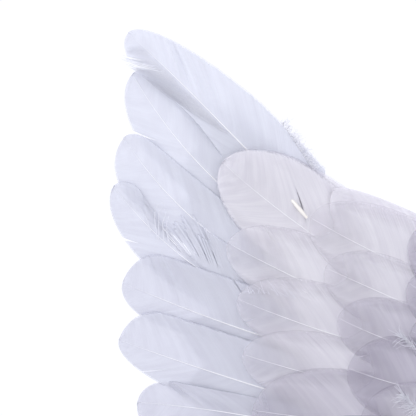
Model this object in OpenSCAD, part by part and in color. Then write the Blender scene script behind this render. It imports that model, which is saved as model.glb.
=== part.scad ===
// A pair of costume fairy wings: two fans of overlapping feathers on hinged wire frames,
// carried by a padded back plate with elastic shoulder straps.
// Upright as worn: +Z is up, the feathers face -Y, the wearer stands at +Y.
// The origin is the middle of the pad's rear face, where it lies on the wearer's back.

/* [Back plate] */
// Width of the back plate
plate_w = 170; // [166:1:176]
// Height of the back plate
plate_h = 200; // [196:1:204]
// Thickness of the back plate
plate_t = 3; // [2.5:0.5:3.5]
// Corner radius of the back plate
plate_corner = 20; // [10:1:30]

/* [Pad] */
// Width of the pad
pad_w = 110; // [90:1:112]
// Height of the pad
pad_h = 190; // [150:1:195]
// Thickness of the pad with its cover
pad_t = 10; // [8:1:14]
// Thickness of the pad's cover
cover_t = 1; // [0.8:0.1:2]
// Corner radius of the pad
pad_corner = 25; // [10:1:40]

/* [Hinges] */
// Distance of each hinge axis from the middle plane
hinge_x = 25; // [24:1:28]
// Radius of the wire that the frames and the hinge bars are bent from
wire_r = 2; // [1.8:0.1:2]
// Running clearance of a hinge bar in its clips
hinge_gap = 0.05; // [0.02:0.01:0.08]
// Height of the hinge clips above and below the middle
clip_z = 70; // [60:1:74]
// Length of one hinge clip along its bar
clip_len = 12; // [8:1:14]

/* [Wing frames] */
// Radius of the stiffening ribs
rib_r = 1.5; // [1.2:0.1:1.6]
// Thickness of the felt backing
felt_t = 1; // [0.8:0.1:1.2]
// How far the felt reaches past the middle of the wire
felt_margin = 6; // [4:1:8]

/* [Feathers] */
// Thickness of one feather
feather_t = 0.8; // [0.6:0.1:0.9]
// Roll of each feather about its shaft, so that it lies over the one above it
feather_roll = 3.5; // [3:0.1:4]
// Width of the long outer feathers
primary_w = 52; // [46:1:54]
// Width of the feathers that cover the quills of the long ones
greater_w = 58; // [50:1:60]
// Width of the middle feathers
median_w = 50; // [40:1:52]
// Width of the small feathers
lesser_w = 42; // [36:1:44]
// Width of the smallest feathers, next to the hinge
marginal_w = 36; // [30:1:38]

/* [Straps] */
// Width of the elastic straps
strap_w = 25; // [20:1:25]
// Thickness of the elastic
strap_t = 1.2; // [1:0.1:1.4]
// Distance of each strap's middle from the middle plane
strap_x = 70; // [69:1:71]
// Radius of the strap's turns at the shoulder and at the waist
loop_r = 24; // [20:1:30]
// Height at which the shoulder turn starts
loop_top = 112; // [106:1:130]
// Height at which the waist turn starts
loop_bottom = -190; // [-220:1:-188]

/* [Centre] */
// Radius of the feather boa that covers the gap between the wings
boa_r = 12; // [8:1:12]
// Lowest point of the boa
boa_low = -92; // [-96:1:-60]
// Highest point of the boa
boa_high = 112; // [80:1:116]

/* [Hidden] */
$fn = 48;

// Wall of the crimped sleeves, which stand out behind the felt
sleeve_wall = 1;
// Depths, from the wearer's back at 0 to the feathers' faces
plate_back = -pad_t;
plate_front = plate_back - plate_t;
bar_y = plate_front - 4;
felt_back = bar_y - wire_r - sleeve_wall - 0.1;
felt_front = felt_back - felt_t;
// Each layer of feathers lies on a shallow cone round the middle of the fan:
// its depth there, and how far it comes forward per millimetre away from there
under_layer = [felt_front - 2.2, 0];
primary_layer = [felt_front - 6.4, 0];
greater_layer = [felt_front - 9.4, 0.01];
median_layer = [felt_front - 11.6, 0.026];
lesser_layer = [felt_front - 13.8, 0.042];
marginal_layer = [felt_front - 16.0, 0.058];

// Hinge clips and rivets
clip_wall = 1.2;
flange_w = 24;
flange_t = 1.2;
clip_rivet_x = 8;
rivet_r = 1.5;
rivet_gap = 0.05;
rivet_head_r = 2.8;
rivet_head_t = 1;
bar_half = 95;
sleeve_low = 85;
sleeve_high = 105;

// Strap hardware: the strap runs close behind the plate, and round the ring's lower rod
strap_y = plate_back + strap_t / 2;
tab_front_y = plate_front - strap_t / 2;
ring_y = (strap_y + tab_front_y) / 2;
ring_turn_r = (strap_y - tab_front_y) / 2;
ring_rod_r = 1.4;
ring_top = -105;
ring_low = -116;
ring_half_w = strap_w / 2 + 1.8;
strap_rivet_z = 80;
tab_rivet_z = -86;
strap_rivet_x = 6;
washer_r = 4.2;
washer_t = 0.6;
slider_z = -165;
slider_half_h = 9;
slider_rail_t = 2.5;
slider_bar_r = 1;
slider_turn_r = slider_bar_r + 0.1 + strap_t / 2;
slider_bar_y = tab_front_y - slider_turn_r;

// Middle line of the left frame's wire in the x-z plane; the first and the last point only steer it
wire_route = [
    [-32, 90], [-hinge_x, 108], [-32, 126], [-58, 150], [-108, 172], [-168, 190],
    [-225, 197], [-257, 178], [-267, 135], [-262, 85], [-250, 35], [-232, -15],
    [-206, -54], [-170, -88], [-124, -111], [-78, -121], [-42, -119], [-hinge_x, -108],
    [-42, -96]
];
wire_steps = 4;
wire_sides = 8;
// Each rib runs from the hinge bar to the wire: heights at the bar, and its far end
upper_rib_ends = [[-hinge_x, 48], [-266, 124]];
lower_rib_ends = [[-hinge_x, -26], [-237, -4]];
clamp_gap = 0.3;
clamp_wall = 0.7;
clamp_len = 7;

// Feathers of the left wing as [quill end, tip] in the x-z plane, from the leading edge down
primaries = [
    [[-214, 202], [-357, 350]], [[-214, 178], [-354, 317]], [[-212, 144], [-361, 266]],
    [[-200, 116], [-369, 227]], [[-172, 84], [-362, 150]], [[-170, 42], [-365, 104]],
    [[-160, 18], [-350, 54]], [[-150, -4], [-340, 10]], [[-140, -26], [-322, -36]],
    [[-128, -46], [-294, -82]], [[-114, -62], [-256, -126]], [[-99, -74], [-210, -164]],
    [[-82, -82], [-160, -196]], [[-66, -87], [-110, -220]], [[-50, -90], [-62, -236]]
];
greaters = [
    [[-128, 166], [-252, 252]], [[-148, 150], [-282, 246]], [[-131, 115], [-278, 182]],
    [[-114, 86], [-270, 137]], [[-108, 55], [-266, 93]], [[-100, 28], [-258, 48]],
    [[-92, 2], [-244, 2]], [[-84, -20], [-222, -42]], [[-74, -38], [-190, -82]],
    [[-64, -52], [-152, -114]], [[-54, -62], [-108, -138]], [[-44, -68], [-64, -150]]
];
medians = [
    [[-86, 172], [-194, 224]], [[-92, 144], [-212, 202]], [[-86, 112], [-200, 162]],
    [[-80, 84], [-190, 122]], [[-74, 56], [-182, 82]], [[-68, 28], [-172, 40]],
    [[-62, 2], [-156, 0]], [[-56, -20], [-132, -36]], [[-50, -38], [-102, -66]],
    [[-45, -52], [-68, -90]]
];
lessers = [
    [[-52, 128], [-130, 190]], [[-54, 104], [-134, 150]], [[-52, 80], [-132, 112]],
    [[-50, 56], [-126, 74]], [[-48, 34], [-116, 36]], [[-46, 12], [-100, 2]],
    [[-42, -8], [-80, -24]], [[-38, -28], [-58, -54]]
];
marginals = [
    [[-36, 110], [-84, 154]], [[-36, 84], [-90, 116]], [[-35, 58], [-88, 78]],
    [[-34, 32], [-80, 40]], [[-33, 6], [-62, 2]]
];
// The under layer lies between the long feathers, drawn in towards the middle of the fan
fan_middle = [-2, 24];
under_share = 0.86;
unders = [
    for (i = [0:len(primaries) - 2])
        [drawn_in(middle(primaries[i][0], primaries[i + 1][0]), 0.95),
         drawn_in(middle(primaries[i][1], primaries[i + 1][1]), under_share)]
];
// Shares of a feather's length at which its outline has points, and where the vane starts
vane_stops = [0.1, 0.14, 0.2, 0.3, 0.45, 0.7, 0.82, 0.91, 0.97];
vane_start = 0.1;
calamus_w = 2.5;
// The roll of down over the smallest quills
down_r = 4;
down_x = -45;
down_low = -20;
down_len = 130;

function middle(a, b) = (a + b) / 2;
function drawn_in(p, share) = fan_middle + (p - fan_middle) * share;

// Half width of a vane, as a share of its greatest, at share u of the feather's length
function vane(u) =
    let (s = (u - vane_start) / (1 - vane_start),
         opening = 1 - pow(1 - min(s / 0.5, 1), 2),
         rounding = 1 - pow(max((s - 0.62) / 0.38, 0), 2.2))
    sqrt(max(opening * rounding, 0));

// A smooth curve through the points of a list, without its first and its last
function between(a, b, c, d, t) =
    b + (c - a) * t / 2 + (2 * a - 5 * b + 4 * c - d) * t * t / 2
    + (3 * b - a - 3 * c + d) * t * t * t / 2;
function curve(points, steps) = [
    for (i = [1:len(points) - 3], k = [0:steps - 1])
        between(points[i - 1], points[i], points[i + 1], points[i + 2], k / steps),
    points[len(points) - 2]
];
function unit(v) = v / norm(v);
function heading(points, i) =
    unit(points[min(i + 1, len(points) - 1)] - points[max(i - 1, 0)]);
// Points of an arc in a plane
function arc(centre, radius, from, to, steps) = [
    for (k = [0:steps])
        let (a = from + (to - from) * k / steps)
            centre + radius * [cos(a), sin(a)]
];

// ---------- shared shapes ----------

// A plate with round corners, from one depth to another
module rounded_plate(w, h, corner, y_from, y_to) {
    translate([0, y_to, 0])
        rotate([90, 0, 0])
            linear_extrude(y_to - y_from)
                union() {
                    square([w - 2 * corner, h], center = true);
                    square([w, h - 2 * corner], center = true);
                    for (x = [-1, 1], z = [-1, 1])
                        translate([x * (w / 2 - corner), z * (h / 2 - corner)])
                            circle(corner);
                }
}

// A rod or a hole along +Y
module along_y(r, y_from, y_to) {
    translate([0, y_to, 0])
        rotate([90, 0, 0])
            cylinder(r = r, h = y_to - y_from);
}

// A rod or a hole between two points of the wings' plane
module rod(a, b, r) {
    run = b - a;
    translate([a[0], bar_y, a[1]])
        rotate([0, 90 - atan2(run[1], run[0]), 0])
            cylinder(r = r, h = norm(run));
}

// A flat band of elastic that follows a path in the y-z plane
module band(path, x) {
    edge = [for (i = [0:len(path) - 1])
        let (d = heading(path, i)) [-d[1], d[0]] * strap_t / 2];
    outline = concat(
        [for (i = [0:len(path) - 1]) path[i] + edge[i]],
        [for (i = [len(path) - 1:-1:0]) path[i] - edge[i]]
    );
    translate([x - strap_w / 2, 0, 0])
        rotate([90, 0, 90])
            linear_extrude(strap_w)
                polygon(outline);
}

// One feather lying along +X from its quill end, with the vane that is covered at +Y
module feather_outline(len, w, open_share) {
    open_side = [for (u = vane_stops)
        [u * len, -max(vane(u) * w * open_share, calamus_w / 2)]];
    covered_side = [for (i = [len(vane_stops) - 1:-1:0])
        let (u = vane_stops[i])
            [u * len, max(vane(u) * w * (1 - open_share), calamus_w / 2)]];
    polygon(concat(
        [[0, -calamus_w / 2]], open_side, [[len, 0]], covered_side, [[0, calamus_w / 2]]
    ));
}

function depth_at(layer, p) = layer[0] - layer[1] * norm(p - fan_middle);

module feather(quill, tip, layer, w, open_share) {
    run = tip - quill;
    lift = atan2(depth_at(layer, quill) - depth_at(layer, tip), norm(run));
    translate([quill[0], depth_at(layer, quill), quill[1]])
        rotate([0, -atan2(run[1], run[0]), 0])
            rotate([0, 0, -lift])
                rotate([90 - feather_roll, 0, 0])
                    linear_extrude(feather_t, center = true)
                        feather_outline(norm(run) / cos(lift), w, open_share);
}

// A row of feathers; the first one shows more of the vane along its open side
module feather_row(ends, layer, w, first_share) {
    for (i = [0:len(ends) - 1])
        feather(ends[i][0], ends[i][1], layer, w, i == 0 ? first_share : 0.52);
}

// ---------- back plate and pad ----------

module back_plate() {
    color("white")
        difference() {
            rounded_plate(plate_w, plate_h, plate_corner, plate_front, plate_back);
            rivet_places() rivet_hole();
            for (x = [-1, 1])
                strap_rivet_places(x) rivet_hole();
        }
}

module pad_foam() {
    color("whitesmoke")
        rounded_plate(
            pad_w - 2 * cover_t, pad_h - 2 * cover_t, pad_corner - cover_t,
            plate_back + cover_t, -cover_t
        );
}

module pad_cover() {
    color("white")
        difference() {
            rounded_plate(pad_w, pad_h, pad_corner, plate_back, 0);
            rounded_plate(
                pad_w - 2 * cover_t, pad_h - 2 * cover_t, pad_corner - cover_t,
                plate_back + cover_t, -cover_t
            );
        }
}

// ---------- hinges ----------

module rivet_places() {
    for (x = [-1, 1], z = [-1, 1], side = [-1, 1])
        translate([x * hinge_x + side * clip_rivet_x, 0, z * clip_z])
            children();
}

module rivet_hole() {
    along_y(rivet_r + rivet_gap, plate_front - 10, plate_back + 10);
}

// A saddle clip: a half round cap over the bar and two riveted flanges
module hinge_clip(x, z) {
    bore_r = wire_r + hinge_gap;
    color("gainsboro")
        difference() {
            union() {
                translate([x, bar_y, z])
                    cylinder(r = bore_r + clip_wall, h = clip_len, center = true);
                translate([x - bore_r - clip_wall, bar_y, z - clip_len / 2])
                    cube([2 * (bore_r + clip_wall), plate_front - bar_y, clip_len]);
                translate([x - flange_w / 2, plate_front - flange_t, z - clip_len / 2])
                    cube([flange_w, flange_t, clip_len]);
            }
            translate([x, bar_y, z])
                cylinder(r = bore_r, h = 2 * clip_len, center = true);
            for (side = [-1, 1])
                translate([x + side * clip_rivet_x, 0, z])
                    rivet_hole();
        }
}

module clip_rivets() {
    color("silver")
        rivet_places() {
            along_y(rivet_r, plate_front - flange_t, plate_back);
            along_y(
                rivet_head_r, plate_front - flange_t - rivet_head_t, plate_front - flange_t
            );
        }
}

// ---------- straps ----------

module strap_rivet_places(x) {
    for (side = [-1, 1]) {
        translate([x * strap_x + side * strap_rivet_x, 0, strap_rivet_z])
            children();
        translate([x * strap_x + side * strap_rivet_x, 0, tab_rivet_z])
            children();
    }
}

module strap_rivets() {
    head_y = plate_back + strap_t + washer_t;
    color("silver")
        for (x = [-1, 1], side = [-1, 1], z = [strap_rivet_z, tab_rivet_z])
            translate([x * strap_x + side * strap_rivet_x, 0, z]) {
                front_y = z > 0 ? plate_front : plate_front - strap_t;
                along_y(rivet_r, front_y, head_y);
                along_y(rivet_head_r, head_y, head_y + rivet_head_t);
                along_y(rivet_head_r, front_y - rivet_head_t, front_y);
            }
}

module strap_washers() {
    color("silver")
        for (x = [-1, 1])
            strap_rivet_places(x)
                difference() {
                    along_y(washer_r, plate_back + strap_t, plate_back + strap_t + washer_t);
                    rivet_hole();
                }
}

// From the rivets over the shoulder, down, round under the arm and up to the ring
module strap(x) {
    turn_y = strap_y + loop_r;
    path = concat(
        [[strap_y, strap_rivet_z - 12], [strap_y, strap_rivet_z + 12]],
        arc([turn_y, loop_top], loop_r, 180, 0, 14),
        arc([turn_y, loop_bottom], loop_r, 0, -180, 14),
        [[strap_y, ring_low - 6]],
        arc([ring_y, ring_low], ring_turn_r, 0, 180, 10)
    );
    color("white")
        difference() {
            band(path, x * strap_x);
            strap_rivet_places(x) rivet_hole();
        }
}

// A short tab folded over the plate's lower edge, with the ring in its fold
module ring_tab(x) {
    path = concat(
        [[strap_y, tab_rivet_z + 9], [strap_y, ring_top + 5]],
        arc([ring_y, ring_top], ring_turn_r, 0, -180, 10),
        [[tab_front_y, ring_top + 5], [tab_front_y, tab_rivet_z + 9]]
    );
    color("white")
        difference() {
            band(path, x * strap_x);
            strap_rivet_places(x) rivet_hole();
        }
}

module strap_ring(x) {
    color("silver")
        translate([x * strap_x, ring_y, 0])
            union() {
                for (z = [ring_top, ring_low])
                    translate([-ring_half_w, 0, z])
                        rotate([0, 90, 0])
                            cylinder(r = ring_rod_r, h = 2 * ring_half_w);
                for (side = [-1, 1])
                    translate([side * ring_half_w, 0, ring_low])
                        cylinder(r = ring_rod_r, h = ring_top - ring_low);
                for (side = [-1, 1], z = [ring_top, ring_low])
                    translate([side * ring_half_w, 0, z])
                        sphere(ring_rod_r);
            }
}

// The strap's end: from the ring down to the slider, round its bar and sewn back on itself
module strap_tail(x) {
    sewn_y = tab_front_y - strap_t - 0.15;
    path = concat(
        [[tab_front_y, ring_low - 0.1], [tab_front_y, slider_z + 2]],
        arc([slider_bar_y, slider_z], slider_turn_r, 0, -180, 10),
        [[slider_bar_y - slider_turn_r, slider_z + 2], [sewn_y, slider_z + 9],
         [sewn_y, slider_z + 17]]
    );
    color("white")
        band(path, x * strap_x);
}

// The sliding buckle: two rails, a bar for the strap's end and two ribs behind the strap
module strap_slider(x) {
    rail_x = strap_w / 2 + 0.6;
    rear_y = strap_y + strap_t / 2 + 2.2;
    front_y = slider_bar_y - slider_turn_r - strap_t / 2 - 0.4;
    color("white")
        translate([x * strap_x, 0, slider_z])
            union() {
                for (side = [-1, 1])
                    translate([side * (rail_x + slider_rail_t / 2) - slider_rail_t / 2, front_y,
                               -slider_half_h])
                        cube([slider_rail_t, rear_y - front_y, 2 * slider_half_h]);
                for (z = [-slider_half_h, slider_half_h - 3])
                    translate([-rail_x - 0.5, rear_y - 1.7, z])
                        cube([2 * rail_x + 1, 1.7, 3]);
                translate([-rail_x - 0.5, slider_bar_y, 0])
                    rotate([0, 90, 0])
                        cylinder(r = slider_bar_r, h = 2 * rail_x + 1);
            }
}

// ---------- boa between the wings ----------

module centre_boa() {
    middle_y = plate_front - boa_r + 1;
    color("white")
        difference() {
            translate([0, middle_y, boa_low])
                cylinder(r = boa_r, h = boa_high - boa_low);
            translate([-boa_r, plate_front, boa_low - 1])
                cube([2 * boa_r, boa_r, boa_high - boa_low + 2]);
        }
}

// ---------- wing frames, drawn for the left wing ----------

module hinge_bar() {
    color("silver")
        translate([-hinge_x, bar_y, -bar_half])
            cylinder(r = wire_r, h = 2 * bar_half);
}

// Wire swept along its route, a ring of corners at every point
module frame_wire() {
    route = concat(
        [[-hinge_x, bar_half], [-hinge_x, sleeve_high + 1]], curve(wire_route, wire_steps),
        [[-hinge_x, -sleeve_high - 1], [-hinge_x, -bar_half]]
    );
    rings = len(route);
    corners = [
        for (i = [0:rings - 1], k = [0:wire_sides - 1])
            let (d = heading(route, i), a = 360 * (k + 0.5) / wire_sides)
                [route[i][0] - d[1] * wire_r * cos(a), bar_y + wire_r * sin(a),
                 route[i][1] + d[0] * wire_r * cos(a)]
    ];
    sides = [
        for (i = [0:rings - 2], k = [0:wire_sides - 1])
            let (n = (k + 1) % wire_sides)
                [i * wire_sides + k, i * wire_sides + n,
                 (i + 1) * wire_sides + n, (i + 1) * wire_sides + k]
    ];
    color("silver")
        polyhedron(corners, concat(
            [[for (k = [wire_sides - 1:-1:0]) k]], sides,
            [[for (k = [0:wire_sides - 1]) (rings - 1) * wire_sides + k]]
        ));
}

// Crimped sleeves that hold the wire's ends on the ends of the hinge bar
module bar_sleeves() {
    color("gainsboro")
        for (z = [sleeve_low, -sleeve_high])
            translate([-hinge_x, bar_y, z])
                difference() {
                    cylinder(r = wire_r + sleeve_wall, h = sleeve_high - sleeve_low);
                    translate([0, 0, -1])
                        cylinder(r = wire_r + 0.01, h = sleeve_high - sleeve_low + 2);
                }
}

module rib(ends) {
    far = on_wire(ends[1]);
    d = unit(far - ends[0]);
    color("silver")
        rod(ends[0] + d * (wire_r + 0.8), far - d * (wire_r + 0.8), rib_r);
}

// A clamp that holds a rib's end on a wire: a sleeve round the wire and one round the rib
module clamp(at, wire_heading, rib_heading) {
    half = wire_heading * clamp_len / 2;
    difference() {
        union() {
            rod(at - half, at + half, wire_r + clamp_gap + clamp_wall);
            rod(at, at + rib_heading * 2 * clamp_len, rib_r + clamp_wall);
        }
        rod(at - 2 * half, at + 2 * half, wire_r + clamp_gap);
        rod(at + rib_heading * (wire_r + 0.7), at + rib_heading * 20, rib_r);
    }
}

module rib_clamps() {
    color("gainsboro")
        for (ends = [upper_rib_ends, lower_rib_ends]) {
            far = on_wire(ends[1]);
            d = unit(far - ends[0]);
            clamp(ends[0], [0, 1], d);
            clamp(far, heading(curve(wire_route, wire_steps), nearest(ends[1])), -d);
        }
}

// The point of the wire's route that lies nearest to a given point
function nearest(p) =
    let (gaps = [for (q = curve(wire_route, wire_steps)) norm(q - p)])
    [for (i = [0:len(gaps) - 1]) if (gaps[i] == min(gaps)) i][0];
function on_wire(p) = curve(wire_route, wire_steps)[nearest(p)];

// Felt cut to the wire's shape with a margin, in front of it
module backing_felt() {
    route = curve(wire_route, wire_steps);
    outline = [
        for (i = [0:len(route) - 1])
            let (d = heading(route, i))
                [min(route[i][0] + d[1] * felt_margin, -hinge_x - 1),
                 route[i][1] - d[0] * felt_margin]
    ];
    color("white")
        translate([0, felt_back, 0])
            rotate([90, 0, 0])
                linear_extrude(felt_t)
                    polygon(outline);
}

// ---------- feathers, drawn for the left wing ----------

module under_feathers() {
    color("aliceblue")
        feather_row(unders, under_layer, primary_w, 0.52);
}

module primary_feathers() {
    color("aliceblue")
        feather_row(primaries, primary_layer, primary_w, 0.7);
}

module greater_coverts() {
    color("ghostwhite")
        feather_row(greaters, greater_layer, greater_w, 0.32);
}

module median_coverts() {
    color("ghostwhite")
        feather_row(medians, median_layer, median_w, 0.4);
}

module lesser_coverts() {
    color("white")
        feather_row(lessers, lesser_layer, lesser_w, 0.42);
}

module marginal_coverts() {
    color("white")
        feather_row(marginals, marginal_layer, marginal_w, 0.42);
}

// A roll of down that hides the ends of the smallest quills
module root_down() {
    color("white")
        translate([down_x, depth_at(marginal_layer, [down_x, 90]) - down_r - 2, down_low])
            cylinder(r = down_r, h = down_len);
}

// The right wing mirrors the left one
module right() {
    mirror([1, 0, 0]) children();
}

back_plate();
pad_foam();
pad_cover();
hinge_clip(-hinge_x, clip_z);  // left_upper_hinge_clip
hinge_clip(-hinge_x, -clip_z);  // left_lower_hinge_clip
hinge_clip(hinge_x, clip_z);  // right_upper_hinge_clip
hinge_clip(hinge_x, -clip_z);  // right_lower_hinge_clip
clip_rivets();
strap_rivets();
strap_washers();
strap(-1);  // left_strap
strap(1);  // right_strap
ring_tab(-1);  // left_ring_tab
ring_tab(1);  // right_ring_tab
strap_ring(-1);  // left_strap_ring
strap_ring(1);  // right_strap_ring
strap_tail(-1);  // left_strap_tail
strap_tail(1);  // right_strap_tail
strap_slider(-1);  // left_strap_slider
strap_slider(1);  // right_strap_slider
centre_boa();
hinge_bar();  // left_hinge_bar
right() hinge_bar();  // right_hinge_bar
frame_wire();  // left_frame_wire
right() frame_wire();  // right_frame_wire
rib(upper_rib_ends);  // left_upper_rib
right() rib(upper_rib_ends);  // right_upper_rib
rib(lower_rib_ends);  // left_lower_rib
right() rib(lower_rib_ends);  // right_lower_rib
bar_sleeves();  // left_bar_sleeves
right() bar_sleeves();  // right_bar_sleeves
rib_clamps();  // left_rib_clamps
right() rib_clamps();  // right_rib_clamps
backing_felt();  // left_backing_felt
right() backing_felt();  // right_backing_felt
under_feathers();  // left_under_feathers
right() under_feathers();  // right_under_feathers
primary_feathers();  // left_primary_feathers
right() primary_feathers();  // right_primary_feathers
greater_coverts();  // left_greater_coverts
right() greater_coverts();  // right_greater_coverts
median_coverts();  // left_median_coverts
right() median_coverts();  // right_median_coverts
lesser_coverts();  // left_lesser_coverts
right() lesser_coverts();  // right_lesser_coverts
marginal_coverts();  // left_marginal_coverts
right() marginal_coverts();  // right_marginal_coverts
root_down();  // left_root_down
right() root_down();  // right_root_down
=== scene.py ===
# %% [markdown]
# A pair of costume wings: rows of white goose feathers on hinged wire frames, a padded back
# plate and elastic shoulder straps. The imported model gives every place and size, so the first
# step loads it and keeps its box, which the finished wings must not outgrow.

# %% Load the frame
import math
import random

import bmesh
import bpy
import numpy as np
from mathutils import Matrix, Vector, noise


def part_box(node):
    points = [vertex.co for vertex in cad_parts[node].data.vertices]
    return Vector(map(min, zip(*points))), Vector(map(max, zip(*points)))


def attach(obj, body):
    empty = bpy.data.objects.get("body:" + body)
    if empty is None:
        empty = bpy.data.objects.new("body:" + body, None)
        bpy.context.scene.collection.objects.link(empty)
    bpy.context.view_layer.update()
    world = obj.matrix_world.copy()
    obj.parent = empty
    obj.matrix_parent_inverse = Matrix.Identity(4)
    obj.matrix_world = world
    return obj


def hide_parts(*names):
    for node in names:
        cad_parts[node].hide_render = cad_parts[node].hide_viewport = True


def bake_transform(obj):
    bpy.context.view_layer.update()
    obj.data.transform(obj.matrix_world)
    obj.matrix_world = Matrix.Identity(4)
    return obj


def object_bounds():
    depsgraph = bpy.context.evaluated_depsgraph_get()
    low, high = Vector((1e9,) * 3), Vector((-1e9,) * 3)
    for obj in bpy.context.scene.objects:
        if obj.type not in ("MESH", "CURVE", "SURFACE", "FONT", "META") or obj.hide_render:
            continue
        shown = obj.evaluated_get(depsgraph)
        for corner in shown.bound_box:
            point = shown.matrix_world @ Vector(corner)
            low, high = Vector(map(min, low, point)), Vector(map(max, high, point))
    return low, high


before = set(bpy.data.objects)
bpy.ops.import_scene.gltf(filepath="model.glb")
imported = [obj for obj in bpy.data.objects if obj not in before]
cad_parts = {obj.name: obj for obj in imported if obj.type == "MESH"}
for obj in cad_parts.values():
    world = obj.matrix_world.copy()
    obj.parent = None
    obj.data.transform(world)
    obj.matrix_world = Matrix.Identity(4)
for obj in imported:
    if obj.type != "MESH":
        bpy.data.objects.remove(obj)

cad_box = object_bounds()
MM = 0.001
LEFT, RIGHT = -1, 1
WINGS = ((LEFT, "left"), (RIGHT, "right"))
print("box of the packed model:", cad_box)

# %% [markdown]
# The camera and the light come first. Feathers are judged against a bright backdrop: a white
# world lights them softly from all round and also shines through their single layers. One
# broad lamp from the upper left models the hollows between the feathers. A long lens far away
# keeps the fan free of perspective.

# %% Camera, light and floor
scene = bpy.context.scene
scene.view_settings.view_transform = "Standard"
scene.view_settings.look = "None"

VIEW_WIDTH = 0.3328
VIEW_MIDDLE = Vector((-0.2936, 0.0, 0.2096))
VIEW_DISTANCE = 3.0
FEATHERS_IN_FRONT = 0.03
SENSOR_WIDTH = 36.0

camera_data = bpy.data.cameras.new("camera")
camera_data.sensor_width = SENSOR_WIDTH
camera_data.lens = SENSOR_WIDTH * (VIEW_DISTANCE - FEATHERS_IN_FRONT) / VIEW_WIDTH
camera_data.clip_end = 50.0
camera = bpy.data.objects.new("camera", camera_data)
camera.location = VIEW_MIDDLE + Vector((0.0, -VIEW_DISTANCE, 0.0))
camera.rotation_euler = (math.radians(90), 0.0, 0.0)
scene.collection.objects.link(camera)
scene.camera = camera

world = bpy.data.worlds.new("white_room")
world.use_nodes = True
background = world.node_tree.nodes["Background"]
background.inputs["Color"].default_value = (0.97, 0.98, 1.06, 1.0)
background.inputs["Strength"].default_value = 1.05
scene.world = world


def soft_lamp(name, place, target, size, power, colour):
    """A square area lamp that looks at target."""
    data = bpy.data.lights.new(name, "AREA")
    data.size = size
    data.energy = power
    data.color = colour
    lamp = bpy.data.objects.new(name, data)
    lamp.location = place
    lamp.rotation_euler = (Vector(target) - Vector(place)).to_track_quat("-Z", "Y").to_euler()
    scene.collection.objects.link(lamp)


soft_lamp("key_lamp", (-1.5, -1.6, 1.7), (-0.15, 0.0, 0.1), 0.9, 10.0, (1.0, 0.99, 0.97))

floor_mesh = bpy.data.meshes.new("floor")
bm = bmesh.new()
bmesh.ops.create_grid(bm, x_segments=1, y_segments=1, size=1.6)
bmesh.ops.translate(bm, verts=bm.verts, vec=(0.0, 0.2, cad_box[0][2] - 0.02))
bm.to_mesh(floor_mesh)
bm.free()
floor = bpy.data.objects.new("floor", floor_mesh)
scene.collection.objects.link(floor)
print("lens", round(camera_data.lens), "mm, floor at", round(floor_mesh.vertices[0].co.z, 3), "m")

# %% [markdown]
# What several finishes share is a node group. The first is `barb_streaks`, which draws the fine
# parallel barbs of a feather: the vane's own map runs along the shaft in x and across the vane
# in y, so noise stretched in y becomes hair-fine streaks that follow every curve of the vane.

# %% Node group helpers
def new_group(name, inputs, outputs):
    """A shader node group with named sockets; inputs are (name, kind, default)."""
    group = bpy.data.node_groups.new(name, "ShaderNodeTree")
    for label, kind, default in inputs:
        socket = group.interface.new_socket(label, in_out="INPUT", socket_type=kind)
        if default is not None:
            socket.default_value = default
    for label, kind in outputs:
        group.interface.new_socket(label, in_out="OUTPUT", socket_type=kind)
    return group, group.nodes.new("NodeGroupInput"), group.nodes.new("NodeGroupOutput")


def plug(tree, value, socket):
    """Give a socket what it needs: a link, a colour or a number."""
    if isinstance(value, bpy.types.NodeSocket):
        tree.links.new(value, socket)
    elif value is not None:
        socket.default_value = (*value, 1.0) if isinstance(value, tuple) else value


def math_node(tree, operation, a, b=None, clamp=False):
    """A math node whose inputs are sockets or numbers; returns its output."""
    node = tree.nodes.new("ShaderNodeMath")
    node.operation = operation
    node.use_clamp = clamp
    for socket, value in zip(node.inputs, (a, b)):
        plug(tree, value, socket)
    return node.outputs[0]


def mixed(tree, factor, a, b):
    """Mix two colours; each may be a socket or a tuple."""
    node = tree.nodes.new("ShaderNodeMix")
    node.data_type = "RGBA"
    for socket, value in zip((node.inputs[0], node.inputs[6], node.inputs[7]), (factor, a, b)):
        plug(tree, value, socket)
    return node.outputs[2]


def mapped(tree, value, low, high, to_low=0.0, to_high=1.0):
    """Map a value's range to another, clamped."""
    node = tree.nodes.new("ShaderNodeMapRange")
    node.interpolation_type = "SMOOTHSTEP"
    for socket, number in zip(node.inputs[1:5], (low, high, to_low, to_high)):
        socket.default_value = number
    tree.links.new(value, node.inputs[0])
    return node.outputs[0]


def noise_node(tree, vector, scale, detail, roughness=0.5):
    """Noise on a vector; returns its value."""
    node = tree.nodes.new("ShaderNodeTexNoise")
    node.inputs["Scale"].default_value = scale
    node.inputs["Detail"].default_value = detail
    node.inputs["Roughness"].default_value = roughness
    tree.links.new(vector, node.inputs["Vector"])
    return node.outputs["Fac"]


def bump_node(tree, height, strength, distance):
    """Fine relief from a height; returns the bent normal."""
    node = tree.nodes.new("ShaderNodeBump")
    node.inputs["Strength"].default_value = strength
    node.inputs["Distance"].default_value = distance
    tree.links.new(height, node.inputs["Height"])
    return node.outputs[0]


def group_node(tree, group, **given):
    """A node group in use, with numbers or links on its sockets; returns its outputs."""
    node = tree.nodes.new("ShaderNodeGroup")
    node.node_tree = group
    for label, value in given.items():
        plug(tree, value, node.inputs[label])
    return node.outputs


def map_node(tree, name):
    """The coordinates of a piece's own map."""
    node = tree.nodes.new("ShaderNodeUVMap")
    node.uv_map = name
    return node.outputs[0]


def face_value(tree, name):
    """A value that each face carries."""
    node = tree.nodes.new("ShaderNodeAttribute")
    node.attribute_name = name
    return node.outputs["Fac"]


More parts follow.
